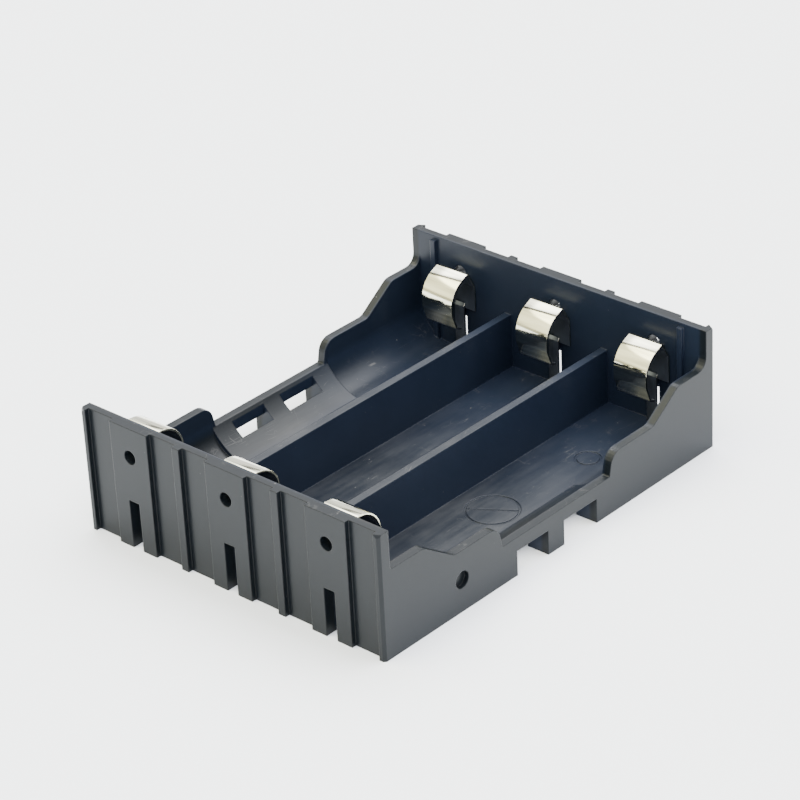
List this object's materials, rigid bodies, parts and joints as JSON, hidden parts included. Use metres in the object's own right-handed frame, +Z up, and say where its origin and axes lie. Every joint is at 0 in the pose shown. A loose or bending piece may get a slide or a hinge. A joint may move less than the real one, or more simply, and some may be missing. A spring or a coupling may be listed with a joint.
{
  "type": "cylindrical cell holder",
  "caption": "Open moulded tray for cylindrical cells lying side by side, with stepped side walls, dividers and bent strip contacts at both ends of each bay.",
  "frame": {"origin": "middle of the tray's footprint, on the plane that the tray rests on", "axes": "+X across the bays, +Y along the cells, +Z up out of the open top"},
  "size_m": [0.06, 0.077, 0.021],
  "materials": {
    "tray": "black moulded ABS, satin gloss",
    "contact": "bright nickel plate on spring steel"
  },
  "bodies": {
    "root": {"tray": "tray", "near_contact_1": "contact", "near_contact_2": "contact", "near_contact_3": "contact", "far_contact_1": "contact", "far_contact_2": "contact", "far_contact_3": "contact"}
  },
  "joints": []
}
